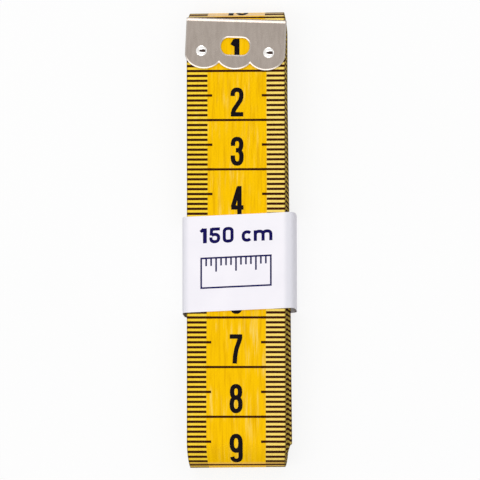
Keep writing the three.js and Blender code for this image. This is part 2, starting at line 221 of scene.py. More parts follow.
def winding():
    """The whole line from the zero end to the inner end, and the lengths along it at which the
    cloth bends. Each point's value is its turn, which is counted in layers from the zero end."""
    points, turns, bends = [], [], []
    y = ZERO_END
    for layer in range(LAYER_COUNT):
        heading = -1 if layer % 2 == 0 else 1
        is_past_end = heading < 0
        if layer < INNER_LAYER:
            start, end = spread_level(layer, is_past_end), spread_level(layer + 1, is_past_end)
            radius = abs(start - end) / 2
            reach = FOLD_SHAPE * radius
            fold_step = LOOSE_FOLD_STEP if is_past_end else spread_pitch(is_past_end)
            depth = layer // 2 * fold_step
            centre = heading * (HALF_BUNDLE - TAPE_THICKNESS / 2 - depth - reach)
        else:
            centre = INNER_END
        steps = max(round(abs(centre - y) / STRAIGHT_STEP), 1)
        for step in range(0 if layer == 0 else 1, steps):
            place = lerp(y, centre, step / steps)
            before = level_of(layer, place - STRAIGHT_STEP)
            if abs(before - level_of(layer, place + STRAIGHT_STEP)) > LEVEL_STEP:
                bends.append(len(points))
            points.append((place, level_of(layer, place)))
            turns.append(layer + step / steps)
        if layer == INNER_LAYER:
            points.append((centre, level_of(layer, centre)))
            turns.append(LAYER_COUNT)
            break
        for step in range(FOLD_STEPS * FINE_STEPS + 1):
            angle = math.pi * (step / (FOLD_STEPS * FINE_STEPS) - 0.5)
            if step % FINE_STEPS == 0:
                bends.append(len(points))
            points.append((
                centre + heading * reach * math.cos(angle),
                (start + end) / 2 + heading * radius * math.sin(angle),
            ))
            turns.append(layer + 1)
        y = centre
    path = Path(points, -1, turns)
    return path, [path.lengths[index] for index in bends]


tape_path, tape_bends = winding()
TAPE_LENGTH = tape_path.lengths[-1]

# Inner turns lie a little to one side or the other of their neighbours, as they were wound
WOBBLE = 0.07
WOBBLE_SEED = 7
wobbles = random.Random(WOBBLE_SEED)
inner_wobbles = [wobbles.uniform(-WOBBLE, WOBBLE) for _ in range(2, INNER_LAYER)]
WOBBLE_AT = [0.0, 0.0, *inner_wobbles, 0.0, 0.0, 0.0]  # at each whole turn


def tape_shift(y, turn):
    """How far the cloth lies to the right of the free end's middle: inner turns are skewed."""
    along = (HALF_BUNDLE - y) / (2 * HALF_BUNDLE)
    lean = INNER_LEAN * along * (turn / LAYER_COUNT) ** 2
    before = int(turn)
    return lean + lerp(WOBBLE_AT[before], WOBBLE_AT[before + 1], turn - before)


FOLD_NARROWING = 0.04  # of the cloth's width, where it goes round a fold
NARROWING_POWER = 1.5


def tape_place(across, along, height):
    (y, z), (normal_y, normal_z), turn = tape_path.at(along)
    narrowed = across * (1 - FOLD_NARROWING * abs(normal_y) ** NARROWING_POWER)
    x = TAPE_MIDDLE + tape_shift(y, turn) + narrowed
    return Vector((x, y + normal_y * height, z + normal_z * height))


# Flat patterns, and the closed bodies that are folded from them

SAME_POINT = 1e-4


@dataclass
class Pattern:
    """A flat sheet. The first ring is its outside, counterclockwise, and the others are holes,
    clockwise. insets are the same rings without the shaped edge. lines are folds from one point
    of an inset to another. front and back hold printed shapes, counterclockwise. edge goes from
    the face to the rim: share of the way out, depth below the face, and tilt in degrees."""

    rings: list
    insets: list
    lines: list
    thickness: float
    edge: list
    edge_slot: int = 0
    front: list = field(default_factory=list)
    back: list = field(default_factory=list)


def is_counterclockwise(loop):
    return sum(a * d - c * b for (a, b), (c, d) in zip(loop, loop[1:] + loop[:1])) > 0


def mitre(first, second, distance):
    """The step from a corner that keeps distance to the left of both directions there."""
    step = Vector((-first.y - second.y, first.x + second.x))
    return step * (distance / (1 + first.dot(second)))


def inset_by(loop, distance):
    """The loop moved to the left of the way that it runs."""
    inset = []
    for before, here, after in zip(loop[-1:] + loop[:-1], loop, loop[1:] + loop[:1]):
        first = (Vector(here) - Vector(before)).normalized()
        second = (Vector(after) - Vector(here)).normalized()
        step = mitre(first, second, distance)
        inset.append((here[0] + step.x, here[1] + step.y))
    return inset


def triangulated(loops, lines, prints):
    """Points, triangles, which of these are printed, and where each point of the loops went."""
    points, edges, faces = [], [], []
    for loop in loops + prints:
        indices = list(range(len(points), len(points) + len(loop)))
        faces.append(indices if is_counterclockwise(loop) else indices[::-1])
        points.extend(loop)
    for line in lines:
        edges.append((len(points), len(points) + 1))
        points.extend(line)
    found = delaunay_2d_cdt([Vector(point) for point in points], edges, faces, 1, SAME_POINT, True)
    made, _, triangles, point_ids, _, face_ids = found
    went = {}
    for index, ids in enumerate(point_ids):
        for old in ids:
            went[old] = index
    holes = set(range(1, len(loops)))
    kept, printed = [], []
    for triangle, ids in zip(triangles, face_ids):
        if 0 not in ids or holes.intersection(ids):
            continue
        corners = [tuple(made[index]) for index in triangle]
        kept.append(list(triangle) if is_counterclockwise(corners) else list(triangle)[::-1])
        printed.append(any(index >= len(loops) for index in ids))
    places, first = [], 0
    for loop in loops:
        places.append([went[first + index] for index in range(len(loop))])
        first += len(loop)
    return [tuple(point) for point in made], kept, printed, places


class Skin:
    """The closed surface of a pattern that place(a, b, height) folds: its points with their
    normals, and its faces, each with a material slot and the flat places of its corners."""

    def __init__(self, pattern, place):
        self.pattern, self.place = pattern, place
        self.half = pattern.thickness / 2
        self.points, self.normals = [], []
        self.faces, self.slots, self.corners = [], [], []
        uppers = self.add_side(1, pattern.front)
        lowers = self.add_side(-1, pattern.back)
        for loops in zip(pattern.rings, pattern.insets, uppers, lowers):
            self.add_edge(*loops)
        a, b = pattern.insets[0][0]
        here = place(a, b, 0)
        turning = (place(a + 1, b, 0) - here).cross(place(a, b + 1, 0) - here)
        if turning.dot(self.normal_at(a, b)) < 0:
            self.faces = [face[::-1] for face in self.faces]
            self.corners = [corners[::-1] for corners in self.corners]

    def normal_at(self, a, b):
        return (self.place(a, b, self.half) - self.place(a, b, -self.half)).normalized()

    def add_side(self, side, prints):
        """The front is side 1 and the back side -1. Gives the points along each inset."""
        pattern, first = self.pattern, len(self.points)
        flat, triangles, printed, loops = triangulated(pattern.insets, pattern.lines, prints)
        for a, b in flat:
            self.points.append(self.place(a, b, side * self.half))
            self.normals.append(side * self.normal_at(a, b))
        for triangle, is_print in zip(triangles, printed):
            order = triangle if side > 0 else triangle[::-1]
            self.faces.append([first + index for index in order])
            self.slots.append(1 if is_print else 0)
            self.corners.append([(side, *flat[index]) for index in order])
        return [[first + index for index in loop] for loop in loops]

    def add_edge_point(self, a, b, step, out, height, tilt):
        """A point that lies a share out of the step from the inset to the rim."""
        outward = (self.place(a + step.x, b + step.y, 0) - self.place(a, b, 0)).normalized()
        upward = math.copysign(1, height) * self.normal_at(a, b)
        normal = outward * math.sin(math.radians(tilt)) + upward * math.cos(math.radians(tilt))
        self.points.append(self.place(a + step.x * out, b + step.y * out, height))
        self.normals.append(normal.normalized())

    def add_edge(self, ring, inset, upper, lower):
        """The strip along a ring, from the front's points over the rim to the back's."""
        steps = [Vector(full) - Vector(small) for full, small in zip(ring, inset)]
        width = min(step.length for step in steps)
        rows, reach, before = [(upper, 0.0)], 0.0, (0.0, self.half)
        for side, profile in ((1, self.pattern.edge), (-1, self.pattern.edge[::-1])):
            for out, depth, tilt in profile:
                height = side * (self.half - depth)
                first = len(self.points)
                for (a, b), step in zip(inset, steps):
                    self.add_edge_point(a, b, step, out, height, tilt)
                reach += math.dist(before, (width * out, height))
                before = (width * out, height)
                rows.append(([first + index for index in range(len(ring))], reach))
        reach += math.dist(before, (0.0, -self.half))
        rows.append((lower, reach))
        for (above, above_reach), (below, below_reach) in zip(rows, rows[1:]):
            for here in range(len(ring)):
                ahead = (here + 1) % len(ring)
                self.faces.append([above[here], below[here], below[ahead], above[ahead]])
                self.slots.append(self.pattern.edge_slot)
                self.corners.append([
                    (1, *(Vector(inset[index]) + steps[index].normalized() * way))
                    for index, way in (
                        (here, above_reach), (here, below_reach),
                        (ahead, below_reach), (ahead, above_reach),
                    )
                ])


def linked(name, data):
    made = bpy.data.objects.new(name, data)
    bpy.context.scene.collection.objects.link(made)
    return made


def smooth_mesh(name, points, faces):
    mesh = bpy.data.meshes.new(name)
    mesh.from_pydata([point * MM for point in points], [], faces)
    mesh.polygons.foreach_set("use_smooth", [True] * len(faces))
    return mesh


def add_map(mesh, name, values):
    mesh.uv_layers.new(name=name).data.foreach_set("uv", values)


def sheet_object(name, pattern, place, chart, bake_chart=None):
    """The pattern folded by place(a, b, height). chart(side, a, b) gives the map that its
    materials read, and bake_chart(side, a, b, middle) its layout in the unit square."""
    skin = Skin(pattern, place)
    mesh = smooth_mesh(name, skin.points, skin.faces)
    mesh.polygons.foreach_set("material_index", skin.slots)
    add_map(mesh, "flat", [
        value for face in skin.corners for corner in face for value in chart(*corner)
    ])
    if bake_chart:
        middles = [sum(corner[2] for corner in face) / len(face) for face in skin.corners]
        add_map(mesh, "OFBake", [
            value for face, middle in zip(skin.corners, middles)
            for corner in face for value in bake_chart(*corner, middle)
        ])
    mesh.normals_split_custom_set_from_vertices(skin.normals)
    return linked(name, mesh)


# Numerals, as strokes of even width. Across, 1 is half the width of a stroke's middle line, and
# up, 1 is its height.

BOWL_SQUARENESS = 2.4
ARC_STEP = 20.0
STEM_END = 0.09  # what a straight stem adds to reach the outline's height


def arc(x, y, half_width, half_height, start, end):
    steps = max(round(abs(end - start) / ARC_STEP), 1)
    points = []
    for step in range(steps + 1):
        angle = math.radians(lerp(start, end, step / steps))
        across, up = rounded(angle, BOWL_SQUARENESS)
        points.append((x + half_width * across, y + half_height * up))
    return points


def ring(x, y, half_width, half_height):
    return arc(x, y, half_width, half_height, 0, 360)


def stem(x, top=1.0):
    return [(x, -STEM_END), (x, top + STEM_END)]


def arch(x):
    return arc(x, 0.4, 1, 0.26, 180, 0) + [(x + 1, -STEM_END)]


def turned(strokes):
    return [[(-x, 1 - y) for x, y in stroke] for stroke in strokes]


SIX = [ring(0, 0.29, 1, 0.29), arc(0, 0.78, 1, 0.22, 10, 180) + [(-1, 0.3)]]
GLYPHS = {
    "0": [arc(0, 0.78, 1, 0.22, 0, 180) + arc(0, 0.22, 1, 0.22, 180, 360) + [(1, 0.78)]],
    "1": [stem(-0.09), stem(0.09), [(-0.34, 1.04), (-1.09, 0.81)]],
    "2": [
        arc(0, 0.79, 1, 0.21, 190, 0) + [(0.98, 0.7), (0.78, 0.57), (-0.72, 0.18), (-0.95, 0)],
        [(-1.45, 0), (1.45, 0)],
    ],
    "3": [
        arc(0, 0.77, 0.96, 0.23, 190, -85), arc(0, 0.27, 1, 0.27, 85, -190),
        [(-0.3, 0.54), (0.25, 0.54)],
    ],
    "4": [stem(0.5), [(-1.4, 0.22), (1.45, 0.22)], [(-1.0, 0.24), (0.35, 1.03)]],
    "5": [
        [(1.35, 1), (-0.75, 1)], [(-0.8, 1 + STEM_END), (-0.92, 0.5)],
        arc(0, 0.29, 1, 0.29, 140, -190),
    ],
    "6": SIX,
    "7": [
        [(-1.45, 1), (1.45, 1)],
        [(1.0, 0.98), (0.7, 0.8), (0.1, 0.5), (-0.2, 0.2), (-0.3, -STEM_END)],
    ],
    "8": [ring(0, 0.77, 0.92, 0.23), ring(0, 0.27, 1, 0.27)],
    "9": turned(SIX),
    "c": [arc(0, 0.33, 1, 0.33, 40, 320)],
    "m": [stem(-2, 0.66), arch(-1), arch(1)],
}


def stroke_shapes(stroke, width):
    """The quadrilaterals that a stroke of that width covers."""
    is_closed = math.dist(stroke[0], stroke[-1]) < SAME_POINT
    line = [Vector(point) for point in (stroke[:-1] if is_closed else stroke)]
    count = len(line)
    lefts, rights = [], []
    for index, here in enumerate(line):
        before = line[index - 1] if is_closed or index > 0 else None
        after = line[(index + 1) % count] if is_closed or index + 1 < count else None
        first = (here - before).normalized() if before else (after - here).normalized()
        second = (after - here).normalized() if after else first
        step = mitre(first, second, width / 2)
        lefts.append(here + step)
        rights.append(here - step)
    shapes = []
    for index in range(count if is_closed else count - 1):
        ahead = (index + 1) % count
        shape = [rights[index], rights[ahead], lefts[ahead], lefts[index]]
        shapes.append([tuple(point) for point in shape])
    return shapes


def moved(shapes, right, up=0.0):
    return [[(x + right, y + up) for x, y in shape] for shape in shapes]


def lettering(text, height, width, stroke, gap):
    """The shapes of a line of print, with its middle over x 0 and its foot on y 0. width is that
    of a broad numeral with its strokes."""
    shapes, ends, start = [], [], 0.0
    half = (width - stroke) / 2
    for letter in text:
        if letter == " ":
            start += width / 2
            continue
        found = []
        for line in GLYPHS[letter]:
            line = [(x * half, stroke / 2 + y * (height - stroke)) for x, y in line]
            found += stroke_shapes(line, stroke)
        low = min(x for shape in found for x, _ in shape)
        high = max(x for shape in found for x, _ in shape)
        shapes += moved(found, start - low)
        reach = max(-low, high)
        ends += [start - low - reach, start - low + reach]
        start += high - low + gap
    return moved(shapes, -(ends[0] + ends[-1]) / 2)


def cut_to(shapes, low, high):
    """What of the shapes lies between two heights."""
    kept = []
    for shape in shapes:
        for limit, sign in ((low, 1), (high, -1)):
            inside = []
            for here, ahead in zip(shape, shape[1:] + shape[:1]):
                first, second = sign * (here[1] - limit), sign * (ahead[1] - limit)
                if first >= 0:
                    inside.append(here)
                if first * second < 0:
                    share = first / (first - second)
                    inside.append(tuple(lerp(*pair, share) for pair in zip(here, ahead)))
            shape = inside
            if not shape:
                break
        if len(shape) >= 3:
            kept.append(shape)
    return kept


# The printed tape

CENTIMETRE = 10.0
SCALE_CENTIMETRES = 150
SCALE_LENGTH = SCALE_CENTIMETRES * CENTIMETRE
SCALE_START = 0.23  # what the scale would read at the cut end
PRINT_SKEW = 0.01  # the slope of its lines
NUMERAL_HEIGHT = 5.9
NUMERAL_WIDTH = 2.65
NUMERAL_STROKE = 0.9
NUMERAL_GAP = 0.45
NUMERAL_RISE = 0.7  # above its line
PRINT_SHIFT = 0.25
PRINT_WANDER = 0.28  # further on, the print lies this much more to the left
WANDER_START = 40.0
WANDER_END = 70.0
TAPE_EDGE = 0.05
PRINT_MARGIN = 0.002


def printed_numerals(start, end):
    """Front and back numerals between two lengths along the cloth. The back is numbered from the
    other end."""
    front, back = [], []
    for number in range(1, SCALE_CENTIMETRES):
        line = number * CENTIMETRE
        shift = PRINT_SHIFT - PRINT_WANDER * smoothstep(line, WANDER_START, WANDER_END)
        for shapes, is_back in ((front, False), (back, True)):
            foot = line - NUMERAL_RISE
            middle = (SCALE_LENGTH - foot if is_back else foot) - SCALE_START
            if not start - CENTIMETRE < middle < end + CENTIMETRE:
                continue
            text = lettering(
                str(number), NUMERAL_HEIGHT, NUMERAL_WIDTH, NUMERAL_STROKE, NUMERAL_GAP,
            )
            sign = 1 if is_back else -1
            for shape in moved(text, shift):
                placed = [(x, middle + sign * (y - PRINT_SKEW * x)) for x, y in shape]
                shapes.append(placed if is_back else placed[::-1])
    low, high = start + PRINT_MARGIN, end - PRINT_MARGIN
    return cut_to(front, low, high), cut_to(back, low, high)


def tape_pattern(start, end):
    lines = [number * CENTIMETRE - SCALE_START for number in range(1, SCALE_CENTIMETRES)]
    spaced = [start]
    for station in sorted(tape_bends + lines):
        if spaced[-1] + PRINT_MARGIN < station < end - PRINT_MARGIN:
            spaced.append(station)
    spaced.append(end)
    edge = TAPE_WIDTH / 2
    inset = edge - TAPE_EDGE

    def outline(half):
        right = [(half, length) for length in spaced]
        return right + [(-half, length) for length in spaced[::-1]]

    front, back = printed_numerals(start, end)
    return Pattern(
        rings=[outline(edge)],
        insets=[outline(inset)],
        lines=[((-inset, length), (inset, length)) for length in spaced[1:-1]],
        front=front,
        back=back,
        thickness=TAPE_THICKNESS,
        edge=[(1.0, TAPE_EDGE, 90.0)],
    )


def tape_chart(side, across, along):
    printed = along + SCALE_START
    if side < 0:
        printed = SCALE_LENGTH - printed
    return across, printed - PRINT_SKEW * across


# The tape's bake layout: strips of its length side by side, those of the front first
BAKE_STRIPS = 6
BAKE_STRIP_LENGTH = SCALE_LENGTH / BAKE_STRIPS
BAKE_STRIP_WIDTH = 20.9


def tape_bake_chart(side, across, along, middle):
    strip = int((middle + SCALE_START) // BAKE_STRIP_LENGTH)
    up = (along + SCALE_START - strip * BAKE_STRIP_LENGTH) / BAKE_STRIP_LENGTH
    column = strip if side > 0 else strip + BAKE_STRIPS
    return (column + 0.5 + across / BAKE_STRIP_WIDTH) / (2 * BAKE_STRIPS), up


def length_at(y):
    """The length along the free end's layer at a place along the bundle."""
    index = next(index for index, point in enumerate(tape_path.points) if point[0] < y)
    (far, _), (near, _) = tape_path.points[index - 1], tape_path.points[index]
    share = (far - y) / (far - near)
    return lerp(tape_path.lengths[index - 1], tape_path.lengths[index], share)


def tape_piece(name, start, end, bake_chart=None):
    return sheet_object(name, tape_pattern(start, end), tape_place, tape_chart, bake_chart)


# The clips: sheet metal folded over the end of the tape

SCALLOP_COUNT = 3
SCALLOP_BULGE = 3.2
SCALLOP_SPREAD_SHARE = 0.616  # of their pitch, as the next one is
SCALLOP_SIDE_SHARE = 0.61  # from an outer scallop's middle to the clip's side
WINDOW_WIDTH = 5.86
WINDOW_HEIGHT = 3.5
WINDOW_END_REACH = 1.5
WINDOW_FROM_FOLD = 5.7
RIVET_FROM_SIDE = 3.3
RIVET_FROM_FOLD = 6.85
RIVET_HOLE_RADIUS = 0.61
CLIP_EDGE_WIDTH = 0.28  # of the pressed slope and the short bevel along its edges
CLIP_EDGE = [(0.08, 0.004, 18.0), (0.92, 0.1, 18.0), (1.0, 0.12, 90.0)]
SCALLOP_STEPS = 28
CLIP_FOLD_STEPS = 16
SHOULDER_WIDTH = 0.45  # of the plates, rounded over towards the fold
SHOULDER_LEAN = math.radians(34)
SHOULDER_POWER = 0.35
SHOULDER_STEPS = 5
WINDOW_STEPS = 14
HOLE_STEPS = 24

CLIP_MIDDLE_RADIUS = FOLD_RADIUS - CLIP_SHEET / 2
CLIP_QUARTER = CLIP_MIDDLE_RADIUS * math.pi / 2


def clip_free_edge():
    """The scalloped edge from the left side to the right, in the clip's own frame."""
    pitch = 2 * CLIP_HALF_WIDTH / (SCALLOP_COUNT - 1 + 2 * SCALLOP_SIDE_SHARE)
    spread = SCALLOP_SPREAD_SHARE * pitch
    middle = FOLD_OUTSIDE - CLIP_LENGTH + SCALLOP_BULGE
    outermost = (SCALLOP_COUNT - 1) / 2 * pitch
    side_angle = math.acos(SCALLOP_SIDE_SHARE / SCALLOP_SPREAD_SHARE)
    cusp_angle = math.acos(0.5 / SCALLOP_SPREAD_SHARE)
    points = []
    for index in range(SCALLOP_COUNT):
        start = math.pi + (side_angle if index == 0 else cusp_angle)
        end = 2 * math.pi - (side_angle if index == SCALLOP_COUNT - 1 else cusp_angle)
        for step in range(0 if index == 0 else 1, SCALLOP_STEPS + 1):
            angle = lerp(start, end, step / SCALLOP_STEPS)
            x = index * pitch - outermost + spread * math.cos(angle)
            points.append((x, middle + SCALLOP_BULGE * math.sin(angle)))
    return points


def unfolded(y):
    """The place of the upper plate's y on the flat blank, whose middle is the fold's."""
    return CLIP_QUARTER + CLIP_HOME - y


def oval(x, y, reach_x, reach_y, flat, steps):
    """Two half ovals round a place, clockwise, each moved out from it by flat."""
    points = []
    for end in (1, -1):
        for step in range(steps + 1):
            angle = math.pi * (step / steps - 0.5)
            across = x + end * (flat + reach_x * math.cos(angle))
            points.append((across, y + end * reach_y * math.sin(angle)))
    return [
        point for before, point in zip([points[0], *points[::-1]], points[::-1])
        if math.dist(before, point) > SAME_POINT
    ]


def clip_folds():
    """The places along the blank at which it bends, from its front to its back."""
    shoulder = [
        CLIP_QUARTER + SHOULDER_WIDTH * step / SHOULDER_STEPS
        for step in range(SHOULDER_STEPS, 0, -1)
    ]
    fold = [
        CLIP_QUARTER * (1 - 2 * step / CLIP_FOLD_STEPS) for step in range(CLIP_FOLD_STEPS + 1)
    ]
    return shoulder + fold + [-place for place in shoulder[::-1]]


def clip_pattern():
    free_edge, folds = clip_free_edge(), clip_folds()
    outline = [(x, unfolded(y)) for x, y in free_edge]
    outline += [(CLIP_HALF_WIDTH, place) for place in folds]
    outline += [(x, -unfolded(y)) for x, y in free_edge[::-1]]
    outline += [(-CLIP_HALF_WIDTH, place) for place in folds[::-1]]
    window = oval(
        0, unfolded(FOLD_OUTSIDE - WINDOW_FROM_FOLD),
        WINDOW_END_REACH, WINDOW_HEIGHT / 2, WINDOW_WIDTH / 2 - WINDOW_END_REACH, WINDOW_STEPS,
    )
    rivet_x = CLIP_HALF_WIDTH - RIVET_FROM_SIDE
    rivet_y = unfolded(FOLD_OUTSIDE - RIVET_FROM_FOLD)
    holes = [
        oval(x, y, RIVET_HOLE_RADIUS, RIVET_HOLE_RADIUS, 0, HOLE_STEPS // 2)
        for x in (-rivet_x, rivet_x) for y in (-rivet_y, rivet_y)
    ]
    rings = [outline[::-1], window, *holes]
    side = CLIP_HALF_WIDTH - CLIP_EDGE_WIDTH
    return Pattern(
        rings=rings,
        insets=[inset_by(loop, CLIP_EDGE_WIDTH) for loop in rings],
        lines=[((-side, place), (side, place)) for place in folds],
        thickness=CLIP_SHEET,
        edge=CLIP_EDGE,
        edge_slot=1,
    )


def clip_place(across, along, height):
    past = abs(along) - CLIP_QUARTER
    if past >= 0:
        y, z = CLIP_HOME - past, CLIP_MIDDLE_RADIUS
        lean = SHOULDER_LEAN * max(0.0, 1 - past / SHOULDER_WIDTH) ** SHOULDER_POWER
    else:
        angle = math.pi / 2 * -past / CLIP_QUARTER
        y = CLIP_HOME + CLIP_MIDDLE_RADIUS * math.sin(angle)
        z = CLIP_MIDDLE_RADIUS * math.cos(angle)
        lean = lerp(SHOULDER_LEAN, math.pi / 2, -past / CLIP_QUARTER)
    y += height * math.sin(lean)
    z += height * math.cos(lean)
    return Vector((across, y, math.copysign(z, along)))


def plain_chart(side, across, along):
    return across, along


def clip_piece(name, matrix):
    def place(across, along, height):
        return matrix @ clip_place(across, along, height)

    return sheet_object(name, clip_pattern(), place, plain_chart)


# The rivets: a low dome on the windowed plate and a flattened tail behind

RIVET_SHANK_RADIUS = 0.55
RIVET_HEAD_RADIUS = 1.1
RIVET_HEAD_HEIGHT = 0.22
RIVET_TAIL_RADIUS = 0.9
RIVET_TAIL_HEIGHT = 0.14
RIVET_SEAT = 0.02
RIVET_HEAD_BASE = FOLD_RADIUS + RIVET_SEAT
RIVET_SIDES = 72
RIVET_DOME_STEPS = 22
RIVET_LIP = 0.05
RIVET_DOME_POWER = 0.45  # 1 is an ellipse, less is squarer
RIVET_SHARP_ANGLE = math.radians(50)
RIVET_HEAD_NARROWING = 0.84  # across the tape
DENT_NAME = "dent"  # the attribute by which the metal knows the slit
DENT_DEPTH = 0.2
DENT_HALF_LENGTH = 0.95
DENT_HALF_WIDTH = 0.4
DENT_SHIFT = 0.35


def rivet_profile():
    """The radius and the height of each ring, from the end of the tail to the top of the head."""
    tail_end = -RIVET_HEAD_BASE - RIVET_TAIL_HEIGHT
    head_top = RIVET_HEAD_BASE + RIVET_HEAD_HEIGHT
    profile = [
        (0.0, tail_end),
        (RIVET_TAIL_RADIUS - RIVET_LIP, tail_end),
        (RIVET_TAIL_RADIUS, tail_end + RIVET_LIP),
        (RIVET_TAIL_RADIUS, -RIVET_HEAD_BASE),
        (RIVET_SHANK_RADIUS, -RIVET_HEAD_BASE),
        (RIVET_SHANK_RADIUS, RIVET_HEAD_BASE),
        (RIVET_HEAD_RADIUS - RIVET_LIP / 2, RIVET_HEAD_BASE),
    ]
    for step in range(RIVET_DOME_STEPS):
        angle = math.pi / 2 * step / RIVET_DOME_STEPS
        profile.append((
            RIVET_HEAD_RADIUS * math.cos(angle) ** RIVET_DOME_POWER,
            lerp(RIVET_HEAD_BASE + RIVET_LIP / 2, head_top, math.sin(angle)),
        ))
    return profile + [(0.0, head_top)]


def dent_at(x, y):
    """How deep the slit is there, as a share of its depth."""
    along = max(0.0, 1 - ((x - DENT_SHIFT) / DENT_HALF_LENGTH) ** 2)
    return along * max(0.0, 1 - (y / DENT_HALF_WIDTH) ** 2)


def rivet_piece(name, matrix):
    points, faces, dents, rows = [], [], [], []
    for radius, z in rivet_profile():
        row = []
        for side in range(1 if radius == 0 else RIVET_SIDES):
            turn = 2 * math.pi * side / RIVET_SIDES
            x, y, dent = radius * math.cos(turn), radius * math.sin(turn), 0.0
            if z > RIVET_HEAD_BASE:
                x *= RIVET_HEAD_NARROWING
                dent = dent_at(x, y)
            row.append(len(points))
            points.append(matrix @ Vector((x, y, z - DENT_DEPTH * dent)))
            dents.append(dent)
        rows.append(row)
    for lower, upper in zip(rows, rows[1:]):
        for side in range(RIVET_SIDES):
            ahead = (side + 1) % RIVET_SIDES
            corners = [
                lower[side % len(lower)], lower[ahead % len(lower)],
                upper[ahead % len(upper)], upper[side % len(upper)],
            ]
            faces.append([c for i, c in enumerate(corners) if c != corners[i - 1]])
    mesh = smooth_mesh(name, points, faces)
    mesh.set_sharp_from_angle(angle=RIVET_SHARP_ANGLE)
    mesh.attributes.new(DENT_NAME, "FLOAT", "POINT").data.foreach_set("value", dents)
    return linked(name, mesh)


# The paper band

PAPER_THICKNESS = 0.1
BAND_HEIGHT = 19.4
BAND_SHIFT = -5.3
BAND_SLOPE = math.tan(math.radians(2.0))  # of its cut edges
BAND_PLAY = 0.06
BAND_BULGE_LEFT = 1.0
BAND_BULGE_RIGHT = 1.9
BAND_EDGE_INSET = 0.1
BAND_SQUARENESS = 4
BAND_OVERLAP = 8.0
BAND_GLUE = 0.02
BAND_SIDE_STEPS = 32
PAPER_EDGE = 0.02


def band_line():
    """The band in section: the flap glued inside, the left side, the top, the right side and the
    outer flap."""
    outer_flap = PAPER_THICKNESS / 2
    inner_flap = outer_flap + PAPER_THICKNESS + BAND_GLUE
    over = coil_high.z + BAND_PLAY + PAPER_THICKNESS / 2

    def side(sign, bulge, below):
        crease = TAPE_WIDTH / 2 - BAND_EDGE_INSET
        middle, rise = (over + below) / 2, (over - below) / 2
        points = []
        for step in range(BAND_SIDE_STEPS + 1):
            out, up = rounded(math.pi * (step / BAND_SIDE_STEPS - 0.5), BAND_SQUARENESS)
            points.append((sign * (crease + (BAND_EDGE_INSET + bulge) * out), middle + rise * up))
        return points

    return [
        (BAND_OVERLAP / 2, inner_flap),
        *side(-1, BAND_BULGE_LEFT, inner_flap),
        *side(1, BAND_BULGE_RIGHT, outer_flap)[::-1],
        (-BAND_OVERLAP / 2, outer_flap),
    ]


band_path = Path(band_line(), 1)
BAND_LENGTH = band_path.lengths[-1]
TOP_ENDS = slice(BAND_SIDE_STEPS + 1, BAND_SIDE_STEPS + 3)  # of the flat stretch on top
BAND_TOP = sum(band_path.lengths[TOP_ENDS]) - sum(x for x, _ in band_path.points[TOP_ENDS])
BAND_TOP /= 2  # the length along the line over the tape's middle


def band_place(along, up, height):
    (x, z), (normal_x, normal_z), _ = band_path.at(along)
    x, z = x + normal_x * height, z + normal_z * height
    return Vector((TAPE_MIDDLE + x, BAND_SHIFT + up + x * BAND_SLOPE, z))


BAND_TEXT = "150 cm"
BAND_TEXT_HEIGHT = 3.2
BAND_TEXT_WIDTH = 2.2
BAND_TEXT_STROKE = 0.64
BAND_TEXT_GAP = 0.5
BAND_TEXT_UP = 4.05
RULE_UP = -4.9
RULE_LENGTH = 14.0
RULE_HEIGHT = 6.0
RULE_STROKE = 0.34
RULE_TICK = 1.6
RULE_LONG_TICK = 2.8
RULE_GROUP = 4  # ticks, the last of them long, so that a long one stands in the middle


def band_print():
    """The length of the tape, and under it a plain rule."""
    text = lettering(
        BAND_TEXT, BAND_TEXT_HEIGHT, BAND_TEXT_WIDTH, BAND_TEXT_STROKE, BAND_TEXT_GAP,
    )
    shapes = moved(text, 0.0, BAND_TEXT_UP)
    half = RULE_LENGTH / 2
    top = RULE_UP + RULE_HEIGHT
    frame_line = [(-half, RULE_UP), (half, RULE_UP), (half, top), (-half, top), (-half, RULE_UP)]
    shapes += stroke_shapes(frame_line, RULE_STROKE)
    for number in range(1, round(RULE_LENGTH)):
        reach = RULE_LONG_TICK if number % RULE_GROUP == RULE_GROUP - 1 else RULE_TICK
        x = number - half
        shapes += stroke_shapes([(x, top), (x, top - reach)], RULE_STROKE)
    return moved(shapes, BAND_TOP)


def band_pattern():
    def outline(inset):
        half = BAND_HEIGHT / 2 - inset
        lengths = band_path.lengths[:]
        lengths[0], lengths[-1] = inset, BAND_LENGTH - inset
        near = [(length, -half) for length in lengths]
        return near + [(length, half) for length in lengths[::-1]]

    half = BAND_HEIGHT / 2 - PAPER_EDGE
    return Pattern(
        rings=[outline(0.0)],
        insets=[outline(PAPER_EDGE)],
        lines=[((length, -half), (length, half)) for length in band_path.lengths[1:-1]],
        front=band_print(),
        thickness=PAPER_THICKNESS,
        edge=[(1.0, PAPER_EDGE, 90.0)],
    )


# Materials

def srgb(red, green, blue):
    def linear(value):
        value /= 255
        return value / 12.92 if value <= 0.04045 else ((value + 0.055) / 1.055) ** 2.4

    return (linear(red), linear(green), linear(blue), 1.0)


WHITE = (1, 1, 1, 1)
NOISE_LOW, NOISE_HIGH = 0.2, 0.8  # nearly all of a noise's values lie between these


@dataclass
class Grain:
    """Noise in places drawn out by stretch. Its marks fade in from low to high."""

    scale: float = 1.0
    stretch: tuple = (1.0, 1.0, 1.0)
    detail: float = 2.0
    roughness: float = 0.5
    low: float = NOISE_LOW
    high: float = NOISE_HIGH


